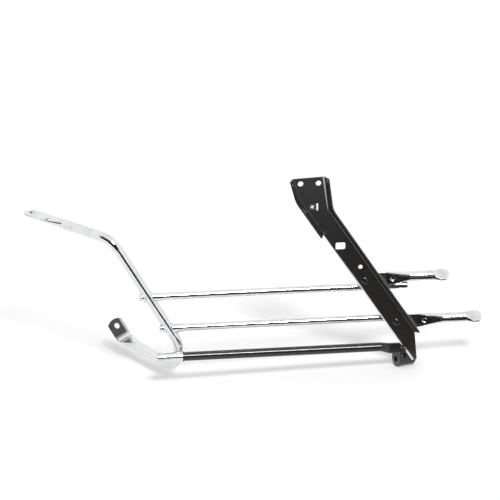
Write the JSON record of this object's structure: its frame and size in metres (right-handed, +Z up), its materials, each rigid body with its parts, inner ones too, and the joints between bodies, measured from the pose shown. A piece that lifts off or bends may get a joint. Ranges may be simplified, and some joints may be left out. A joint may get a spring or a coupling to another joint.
{
  "type": "saddlebag guard",
  "caption": "Side guard rail for a motorcycle saddlebag: a bent tube hoop, two cross rods and a bar welded to a slanted channel bracket with two pressed stays.",
  "frame": {"origin": "midway between the bracket's two top bolt holes, on the front face of its web", "axes": "+X along the rods from the hoop towards the bracket's stays, +Z up, the front of the bracket's web faces -Y"},
  "size_m": [0.7255, 0.1947, 0.3347],
  "materials": {
    "chrome": "polished, scratched at the stays' ends",
    "black_paint": "gloss black, worn to bare metal on some edges",
    "zinc": "satin zinc plate",
    "rubber": "matt"
  },
  "bodies": {
    "root": {"hoop_tube": "chrome", "upper_rod": "chrome", "lower_rod": "chrome", "upper_collar": "chrome", "lower_collar": "chrome", "bar_socket": "chrome", "bar_ring": "rubber", "guard_bar": "black_paint", "channel_bracket": "black_paint", "caged_nut": "zinc", "nut_cage": "black_paint", "upper_stay": "chrome", "lower_stay": "chrome", "stay_rivets": "black_paint", "foot_boss": "black_paint", "foot_pin": "zinc", "stub_welds": "chrome", "collar_welds": "chrome", "socket_weld": "chrome", "stay_welds": "chrome", "bar_weld": "black_paint", "foot_weld": "black_paint"}
  },
  "joints": []
}
